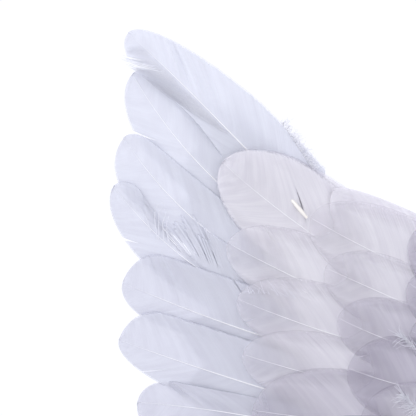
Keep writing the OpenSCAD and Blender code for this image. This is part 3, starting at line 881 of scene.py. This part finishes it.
ELASTIC = woven_material("ribbed_elastic", (0.90, 0.90, 0.91), (0.70, 0.70, 0.73), 2600.0, "cloth")
PAD_CLOTH = woven_material("pad_cloth", (0.88, 0.88, 0.91), (0.72, 0.72, 0.76), 3400.0)
DOWN = grained_material("down", (0.96, 0.96, 0.99), (0.84, 0.84, 0.89), (0.7, 0.85))
floor_mesh.materials.append(grained_material(
    "pale_floor", (0.86, 0.86, 0.86), (0.82, 0.82, 0.82), (0.75, 0.9), 1.0, 0.2 * MM))
print(len(bpy.data.materials), "materials so far")

# %% [markdown]
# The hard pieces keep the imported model's own shapes and only get their finish.

# %% Finish the hardware
HARDWARE = {
    "back_plate": PLATE, "clip_rivets": STEEL, "strap_rivets": STEEL, "strap_washers": STEEL,
}
for wing in ("left", "right"):
    for name in ("upper_hinge_clip", "lower_hinge_clip", "strap_slider"):
        HARDWARE[f"{wing}_{name}"] = CLIP
    for name in ("hinge_bar", "frame_wire", "upper_rib", "lower_rib"):
        HARDWARE[f"{wing}_{name}"] = STEEL
    for name in ("bar_sleeves", "rib_clamps"):
        HARDWARE[f"{wing}_{name}"] = CRIMP
    HARDWARE[f"{wing}_strap_ring"] = CHROME
for name, finish in HARDWARE.items():
    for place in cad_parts[name].material_slots:
        place.material = finish
print(len(HARDWARE), "hard pieces have their finish")

# %% [markdown]
# The straps are flat elastic, 25 mm wide. A band is a grid laid along a route in the side view
# and closed by Solidify; its own map is in metres, so the ribs keep their size along every bend.
# The free loop of each strap is bowed a little, as elastic that has been worn is.

# %% Bands
STRAP_T, STRAP_W, STRAP_X = 1.2 * MM, 25 * MM, 70 * MM
RING_TOP, RING_LOW, SLIDER_Z = -105 * MM, -116 * MM, -165 * MM
STRAP_Y, RING_Y, TAB_FRONT_Y, SLIDER_BAR_Y = -9.4 * MM, -11.5 * MM, -13.6 * MM, -15.3 * MM
RING_TURN, LOOP_R = 2.1 * MM, 24 * MM


def arc(centre, radius, start, end, steps):
    """Points on an arc, as (y, z), from one angle to another in degrees."""
    turns = (math.radians(start + (end - start) * i / steps) for i in range(steps + 1))
    return [(centre[0] + radius * math.cos(a), centre[1] + radius * math.sin(a)) for a in turns]


def evenly(points, step):
    """The same route with points a step apart, and the distance run at each."""
    run = [0.0]
    for a, b in zip(points, points[1:]):
        run.append(run[-1] + math.dist(a, b))
    count = max(round(run[-1] / step), 2)
    at = np.linspace(0.0, run[-1], count + 1)
    columns = [np.interp(at, run, [p[i] for p in points]) for i in range(len(points[0]))]
    return list(zip(*columns)), at


def band_object(name, route, middle_x, bow=0.0, free=(0.0, 0.0)):
    """A strap along a route of (y, z) points, bowed sideways between two shares of its run."""
    points, at = evenly(route, 2.5 * MM)
    bm = bmesh.new()
    uv = bm.loops.layers.uv.new("cloth")
    bmesh.ops.create_grid(bm, x_segments=len(points) - 1, y_segments=8, size=0.5)
    write_map(bm.faces, uv, lambda x, y: ((y - 0.5) * STRAP_W, at[round(x * (len(points) - 1))]))
    for vert in bm.verts:
        row, across = round((vert.co.x + 0.5) * (len(points) - 1)), vert.co.y
        share = at[row] / at[-1]
        y, z = points[row]
        before, after = points[max(row - 1, 0)], points[min(row + 1, len(points) - 1)]
        ahead = Vector((0.0, after[0] - before[0], after[1] - before[1])).normalized()
        out = Vector((1.0, 0.0, 0.0)).cross(ahead)
        loose = smooth(share, free[0], free[0] + 0.1) * (1 - smooth(share, free[1] - 0.1, free[1]))
        ripple = 0.8 * MM * noise.noise(Vector((share * 9.0, across, middle_x * 9))) * loose
        cup = 0.9 * MM * (4 * across ** 2 - 0.33) * loose
        vert.co = Vector((middle_x + across * STRAP_W + bow * loose, y, z)) + out * (ripple + cup)
    bmesh.ops.recalc_face_normals(bm, faces=bm.faces)
    for vert in bm.verts:
        vert.normal_update()
    shifts = [(vert, vert.normal * STRAP_T / 2) for vert in bm.verts]
    for vert, shift in shifts:
        vert.co += shift
    bmesh.ops.solidify(bm, geom=bm.faces[:], thickness=STRAP_T)
    bmesh.ops.recalc_face_normals(bm, faces=bm.faces)
    sharpen(bm)
    made = finish_object(name, bm, [ELASTIC])
    print(name, "is", round(at[-1] / MM), "mm of elastic")
    return made


def stitch_row(bm, start, end, pitch=3 * MM, thick=0.35 * MM):
    """A row of raised thread stitches between two points."""
    start, end = Vector(start), Vector(end)
    count = max(int((end - start).length / pitch), 1)
    turn = (end - start).to_track_quat("Z", "Y").to_matrix().to_4x4()
    for i in range(count):
        place = Matrix.Translation(start.lerp(end, (i + 0.5) / count)) @ turn
        bmesh.ops.create_uvsphere(bm, u_segments=8, v_segments=6, radius=1.0,
                                  matrix=place @ Matrix.Diagonal((thick, thick, pitch * 0.4, 1.0)))


def box_stitch(bm, x, y, z, half_w=9.5 * MM, half_h=5 * MM):
    """A box of stitches on a strap, at the given height and depth."""
    corners = [(x - half_w, y, z - half_h), (x + half_w, y, z - half_h),
               (x + half_w, y, z + half_h), (x - half_w, y, z + half_h)]
    for a, b in zip(corners, corners[1:] + corners[:1]):
        stitch_row(bm, a, b)


# %% Straps, ring tabs and tails
LOOP_Y = STRAP_Y + LOOP_R
STRAP_ROUTE = ([(STRAP_Y, 68 * MM)] + arc((LOOP_Y, 112 * MM), LOOP_R, 180, 0, 24)
               + arc((LOOP_Y, -190 * MM), LOOP_R, 0, -180, 24) + [(STRAP_Y, RING_LOW - 6 * MM)]
               + arc((RING_Y, RING_LOW), RING_TURN, 0, 180, 12))
TAB_ROUTE = ([(STRAP_Y, -77 * MM)] + arc((RING_Y, RING_TOP), RING_TURN, 0, -180, 12)
             + [(TAB_FRONT_Y, -77 * MM)])
SEWN_Y = TAB_FRONT_Y - STRAP_T - 0.15 * MM
SLIDER_TURN = 1.7 * MM
TAIL_ROUTE = ([(TAB_FRONT_Y, RING_LOW - 0.1 * MM), (TAB_FRONT_Y, SLIDER_Z + 2 * MM)]
              + arc((SLIDER_BAR_Y, SLIDER_Z), SLIDER_TURN, 0, -180, 12)
              + [(SLIDER_BAR_Y - SLIDER_TURN, SLIDER_Z + 2 * MM), (SEWN_Y, SLIDER_Z + 9 * MM),
                 (SEWN_Y, SLIDER_Z + 17 * MM)])

for side, wing in WINGS:
    x = side * STRAP_X
    tail_start, tail_end = (x, TAB_FRONT_Y, -116.5 * MM), (x, TAB_FRONT_Y, -163 * MM)
    strap = band_object(f"{wing}_strap_elastic", STRAP_ROUTE, x, side * 2 * MM, (0.12, 0.8))
    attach(strap, "root")
    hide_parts(f"{wing}_strap")
    tab = band_object(f"{wing}_tab_elastic", TAB_ROUTE, x)
    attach(tab, "root")
    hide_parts(f"{wing}_ring_tab")
    tail = band_object(f"{wing}_tail_elastic", TAIL_ROUTE, x)
    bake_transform(tail)
    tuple(tail_start)
    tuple(tail_end)
    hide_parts(f"{wing}_strap_tail")
    bm = bmesh.new()
    box_stitch(bm, x, STRAP_Y + 0.6 * MM, 95 * MM, half_h=3.5 * MM)
    box_stitch(bm, x, TAB_FRONT_Y - 0.6 * MM, -97 * MM, half_h=2.5 * MM)
    stitches = finish_object(f"{wing}_strap_stitches", bm, [THREAD])
    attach(stitches, "root")
    bm = bmesh.new()
    stitch_y, stitch_z = SEWN_Y - 0.6 * MM, -152 * MM
    stitch_row(bm, (x - 10 * MM, stitch_y, stitch_z), (x + 10 * MM, stitch_y, stitch_z))
    tail_stitches = finish_object(f"{wing}_tail_stitches", bm, [THREAD])
    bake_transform(tail_stitches)
    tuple(tail_start)
    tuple(tail_end)

# %% [markdown]
# The pad between the wearer's back and the plate is a quilted cover over foam. A closed form
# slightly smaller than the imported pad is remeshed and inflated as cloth, with the side against
# the plate and two sewn channels held, and the rise is capped so that it keeps its place.

# %% Pad
CHANNELS = (-32 * MM, 32 * MM)
MOST_RISE = 2.5 * MM


def pad_cushion():
    """The quilted cover, inflated and then pinched in at its channels."""
    half_w, half_h, rear, front = 53.5 * MM, 93.5 * MM, -1.5 * MM, -10 * MM
    bm = bmesh.new()
    bmesh.ops.create_cube(bm, size=1.0, matrix=Matrix.Translation((0.0, (rear + front) / 2, 0.0))
                          @ Matrix.Diagonal((2 * half_w, rear - front, 2 * half_h, 1.0)))
    upright = [e for e in bm.edges if abs(e.verts[0].co.y - e.verts[1].co.y) > 1 * MM]
    bmesh.ops.bevel(bm, geom=upright, offset=13 * MM, offset_type="OFFSET", segments=6,
                    affect="EDGES", profile=0.5, material=-1)
    rim = [e for e in bm.edges if min(v.co.y for v in e.verts) > rear - 0.1 * MM
           and len({round(f.normal.y, 2) for f in e.link_faces}) > 1]
    bmesh.ops.bevel(bm, geom=rim, offset=3 * MM, offset_type="OFFSET", segments=3,
                    affect="EDGES", profile=0.5, material=-1)
    cushion = finish_object("quilted_pad", bm, [PAD_CLOTH])
    remesh = cushion.modifiers.new("remesh", "REMESH")
    remesh.mode = "VOXEL"
    remesh.voxel_size = 3 * MM
    remesh.use_smooth_shade = True
    apply_modifiers(cushion)
    held = cushion.vertex_groups.new(name="held")
    for vert in cushion.data.vertices:
        seam = min(abs(vert.co.z - z) for z in CHANNELS) < 1.6 * MM
        if seam or vert.co.y < front + 3.5 * MM:
            held.add([vert.index], 1.0, "REPLACE")
    rest = [vert.co.copy() for vert in cushion.data.vertices]
    cloth = cushion.modifiers.new("cloth", "CLOTH")
    cloth.settings.vertex_group_mass = "held"
    cloth.settings.use_pressure = True
    cloth.settings.uniform_pressure_force = 4.0
    cloth.settings.effector_weights.gravity = 0.0
    for frame_number in range(1, 21):
        scene.frame_set(frame_number)
    apply_modifiers(cushion)
    scene.frame_set(1)
    for vert, start in zip(cushion.data.vertices, rest):
        moved = vert.co - start
        if moved.length > MOST_RISE:
            vert.co = start + moved.normalized() * MOST_RISE
        groove = min(abs(vert.co.z - z) for z in CHANNELS)
        if vert.co.y > -5 * MM:
            vert.co.y -= 2.2 * MM * math.exp(-(groove / (2.6 * MM)) ** 2)
    smoothing = cushion.modifiers.new("smoothing", "SMOOTH")
    smoothing.iterations = 2
    surface = cushion.modifiers.new("surface", "SUBSURF")
    surface.levels = surface.render_levels = 1
    apply_modifiers(cushion)
    return cushion


def apply_modifiers(piece):
    """Replace a piece's mesh by what its modifiers make of it."""
    shaped = piece.evaluated_get(bpy.context.evaluated_depsgraph_get())
    mesh = bpy.data.meshes.new_from_object(shaped)
    piece.modifiers.clear()
    piece.data = mesh


pad = pad_cushion()
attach(pad, "root")
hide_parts("pad_cover", "pad_foam")
pad_points = np.array([v.co for v in pad.data.vertices])
print("pad from", pad_points.min(axis=0).round(4), "to", pad_points.max(axis=0).round(4))

bm = bmesh.new()
for z in CHANNELS:
    stitch_row(bm, (-50 * MM, -2.6 * MM, z), (50 * MM, -2.6 * MM, z), 3.2 * MM)
pad_stitches = finish_object("pad_stitches", bm, [THREAD])
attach(pad_stitches, "root")

# %% [markdown]
# Behind the feathers of each wing lies a panel of felt, whipped to the wire with thread. The
# panel is cut from the imported one and divided so that it can ripple a little. The thread goes
# round wire and felt every few centimetres.

# %% Felt panels
def felt_panel(wing):
    """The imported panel, divided and a little uneven."""
    bm = bmesh.new()
    bm.from_mesh(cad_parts[f"{wing}_backing_felt"].data)
    bmesh.ops.remove_doubles(bm, verts=bm.verts, dist=0.01 * MM)
    low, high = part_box(f"{wing}_backing_felt")
    for axis, normal in ((0, (1, 0, 0)), (2, (0, 0, 1))):
        for at in np.arange(low[axis] + 8 * MM, high[axis], 9 * MM):
            cut = [0.0, 0.0, 0.0]
            cut[axis] = at
            bmesh.ops.bisect_plane(bm, geom=bm.verts[:] + bm.edges[:] + bm.faces[:],
                                   plane_co=cut, plane_no=normal, dist=0.01 * MM)
    bmesh.ops.triangulate(bm, faces=bm.faces[:])
    for vert in bm.verts:
        vert.co.y += 0.35 * MM * noise.noise(Vector((vert.co.x * 30, 0.0, vert.co.z * 30)))
    bmesh.ops.recalc_face_normals(bm, faces=bm.faces)
    sharpen(bm)
    area = sum(f.calc_area() for f in bm.faces if f.normal.y < -0.8)
    made = finish_object(f"{wing}_felt_panel", bm, [FELT])
    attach(made, f"{wing}_wing")
    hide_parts(f"{wing}_backing_felt")


WIRE_ROUTE = [(-25, 108), (-32, 126), (-58, 150), (-108, 172), (-168, 190), (-225, 197),
              (-257, 178), (-267, 135), (-262, 85), (-250, 35), (-232, -15), (-206, -54),
              (-170, -88), (-124, -111), (-78, -121), (-42, -119)]
WIRE_Y, FELT_Y = -17 * MM, -20.6 * MM


def whip_stitches(wing, side):
    """Loops of thread round the wire and through the felt."""
    route = [(x * MM, z * MM) for x, z in WIRE_ROUTE]
    spots = evenly(route, 24 * MM)[0][1:-1]
    wire = np.array([v.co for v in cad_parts["left_frame_wire"].data.vertices])[:, [0, 2]]
    panel_middle = Vector((-150 * MM, 0.0, 50 * MM))
    bm = bmesh.new()
    for x, z in spots:
        near = wire[np.argsort(np.hypot(wire[:, 0] - x, wire[:, 1] - z))[:6]].mean(axis=0)
        centre = Vector((near[0], (WIRE_Y + FELT_Y) / 2, near[1]))
        inward = (panel_middle - centre).normalized()
        inward.y = 0.0
        made = bmesh.ops.create_circle(bm, segments=8, radius=0.35 * MM)["verts"]
        bmesh.ops.translate(bm, verts=made, vec=(4.4 * MM, 0.0, 0.0))
        ring = once(edge for vert in made for edge in vert.link_edges)
        bmesh.ops.rotate(bm, verts=made, matrix=Matrix.Rotation(math.radians(90), 3, "X"))
        spun = bmesh.ops.spin(bm, geom=ring + made, cent=(0, 0, 0), axis=(0, 0, 1),
                              angle=2 * math.pi, steps=14, use_merge=True)
        loop_verts = once(v for item in spun["geom_last"] + made
                          if isinstance(item, bmesh.types.BMVert) for v in connected(item))
        across = Vector((0.0, 1.0, 0.0)).cross(inward)
        turned = Matrix((inward, Vector((0.0, 1.0, 0.0)), across)).transposed()
        bmesh.ops.scale(bm, verts=loop_verts, vec=(0.85, 0.98, 1.0))
        bmesh.ops.rotate(bm, verts=loop_verts, matrix=turned)
        bmesh.ops.translate(bm, verts=loop_verts, vec=centre + inward * 0.6 * MM)
    if side == RIGHT:
        bmesh.ops.scale(bm, verts=bm.verts, vec=(-1.0, 1.0, 1.0))
    bmesh.ops.recalc_face_normals(bm, faces=bm.faces)
    made = finish_object(f"{wing}_whip_stitches", bm, [THREAD])
    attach(made, f"{wing}_wing")


for side, wing in WINGS:
    felt_panel(wing)
    whip_stitches(wing, side)

# %% [markdown]
# Down hides the quill ends and softens the edges. A strand is a thin ribbon that curls as it
# leaves its root. The boa in the middle of the back is a few thousand strands round a core;
# each wing has a thinner roll of the same down over its smallest quills, and small tufts peep
# out where the long feathers start at the leading edge.

# %% Down
def add_strand(bm, root, aim, length, width, draw):
    """One curling ribbon of down: a grid of one by five faces, bent as it goes."""
    made = bmesh.ops.create_grid(bm, x_segments=5, y_segments=1, size=0.5)["verts"]
    aim = aim.normalized()
    aside = aim.orthogonal().normalized()
    aside.rotate(Matrix.Rotation(draw.uniform(0, 2 * math.pi), 3, aim))
    curl = aim.cross(aside)
    bend, twist = draw.uniform(0.1, 0.5), draw.uniform(-1.5, 1.5)
    for vert in made:
        run, half = vert.co.x + 0.5, vert.co.y
        turn = Matrix.Rotation(twist * run, 3, aim)
        place = root + aim * (length * run) + curl * (bend * length * run ** 2)
        vert.co = place + (turn @ aside) * (half * width * (1.0 - 0.8 * run))


def down_object(name, roots, body, replaced, thick=0.12 * MM):
    """Many strands in one object; roots gives root, aim, length and width of each."""
    draw = random.Random(name)
    bm = bmesh.new()
    for root, aim, length, width in roots(draw):
        add_strand(bm, root, aim, length, width, draw)
    bmesh.ops.solidify(bm, geom=bm.faces[:], thickness=thick)
    bmesh.ops.recalc_face_normals(bm, faces=bm.faces)
    made = finish_object(name, bm, [DOWN])
    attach(made, body)
    if replaced:
        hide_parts(replaced)
    print(name, len(made.data.polygons), "faces")


def roll_roots(count, x, y, low, high, radius, reach, keep, pressed=0.0):
    """Roots round an upright core; keep says which way a strand may point, and pressed by how
    much the strands are shorter towards the front."""
    def roots(draw):
        for _ in range(count):
            turn = draw.uniform(0, 2 * math.pi)
            out = Vector((math.cos(turn), math.sin(turn), draw.uniform(-0.5, 0.35)))
            if not keep(out):
                continue
            root = Vector((x, y, draw.uniform(low, high))) + out.normalized() * radius * 0.55
            shorter = 1.0 - pressed * max(-out.normalized().y, 0.0)
            length = radius * 0.45 + reach * draw.uniform(0.3, 1.0) * shorter
            yield root, out, length, draw.uniform(0.7, 1.3) * MM
    return roots


TUFTS = (  # from, to, the way the strands point, longest, how many
    ((-236, -32, 279), (-210, -33, 240), (0.75, -0.25, 0.55), 11, 220),
    ((-140, -38, 108), (-126, -39, 96), (-0.8, -0.5, 0.5), 13, 90),
    ((-138, -39, 62), (-124, -40, 46), (-0.8, -0.5, 0.2), 14, 120),
)


def tuft_roots(side):
    """Roots of the loose down that peeps out between the feathers of one wing."""
    def roots(draw):
        for start, end, aim, longest, count in TUFTS:
            for _ in range(count):
                place = Vector(start).lerp(Vector(end), draw.random()) * MM
                out = Vector(aim) + Vector([draw.uniform(-0.6, 0.6) for _ in range(3)])
                yield (Vector((-side * place.x, place.y, place.z)),
                       Vector((-side * out.x, out.y, out.z)),
                       draw.uniform(0.35, 1.0) * longest * MM, draw.uniform(0.25, 0.45) * MM)
    return roots


# Barbs of the fourth feather that have come loose and looped over: (x, z) points.
LOOSE_LOOPS = (
    ((-334, 184), (-336, 198), (-336, 207), (-334, 212), (-330, 214), (-328, 211)),
    ((-333, 184), (-333, 197), (-333, 206), (-330, 210), (-328, 208)),
    ((-329, 183), (-330, 198), (-327, 207)),
    ((-325, 182), (-327, 197), (-325, 203)),
    ((-339, 190), (-343, 202), (-349, 212)),
)


def loose_loops(wing, side):
    """Thin tubes along the looped barbs of one wing."""
    bm = bmesh.new()
    bm.loops.layers.uv.new("barbs")
    for loop in LOOSE_LOOPS:
        points = evenly([(x * MM, z * MM) for x, z in loop], 1 * MM)[0]
        made = bmesh.ops.create_grid(bm, x_segments=len(points) - 1, y_segments=6, size=0.5)
        for vert in made["verts"]:
            row, turn = round((vert.co.x + 0.5) * (len(points) - 1)), 2 * math.pi * vert.co.y
            (x, z), after = points[row], points[min(row + 1, len(points) - 1)]
            before = points[max(row - 1, 0)]
            ahead = Vector((after[0] - before[0], 0.0, after[1] - before[1])).normalized()
            aside = Vector((0.0, 1.0, 0.0)).cross(ahead)
            radius = 0.45 * MM * (1.0 - 0.6 * row / len(points))
            vert.co = (Vector((x, -30.4 * MM, z)) + aside * math.cos(turn) * radius
                       + Vector((0.0, math.sin(turn) * radius, 0.0)))
            vert.co.x *= -side
    bmesh.ops.remove_doubles(bm, verts=bm.verts, dist=0.02 * MM)
    rims = [edge for edge in bm.edges if edge.is_boundary]
    bmesh.ops.holes_fill(bm, edges=rims, sides=0)
    bmesh.ops.recalc_face_normals(bm, faces=bm.faces)
    made = finish_object(f"{wing}_loose_loops", bm, [BARB])
    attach(made, f"{wing}_wing")


for side, wing in WINGS:
    loose_loops(wing, side)

# %% [markdown]
# The boa hangs in front of the hinges, between the wings. Its strands leave the wearer's side
# free, and the rolls on the wings are pressed flatter in front, where the folded wings meet.

# %% Boa and rolls of down
core = bmesh.new()
bmesh.ops.create_cone(core, segments=16, radius1=5.5 * MM, radius2=5.5 * MM, depth=190 * MM,
                      cap_ends=True, matrix=Matrix.Translation((0.0, -20.5 * MM, 10 * MM)))
ring_faces = [face for face in core.faces if abs(face.normal.z) > 0.9]
bmesh.ops.inset_region(core, faces=ring_faces, thickness=2 * MM, depth=1.5 * MM)
boa_core = finish_object("boa_core", core, [DOWN])
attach(boa_core, "root")
down_object("centre_boa_down",
            roll_roots(7600, 0.0, -23 * MM, -88 * MM, 108 * MM, 10.5 * MM, 6 * MM,
                       lambda out: out.y < 0.55), "root", "centre_boa")
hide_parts("centre_boa")
for side, wing in WINGS:
    low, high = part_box(f"{wing}_root_down")
    down_object(f"{wing}_stray_down", tuft_roots(side), f"{wing}_wing", None)
    down_object(f"{wing}_root_down_strands",
                roll_roots(3400, side * 45 * MM, float(low[1] + high[1]) / 2,
                           float(low[2]) - 12 * MM, float(high[2]) + 14 * MM, 4 * MM, 11 * MM,
                           lambda out: True, pressed=0.9),
                f"{wing}_wing", f"{wing}_root_down")
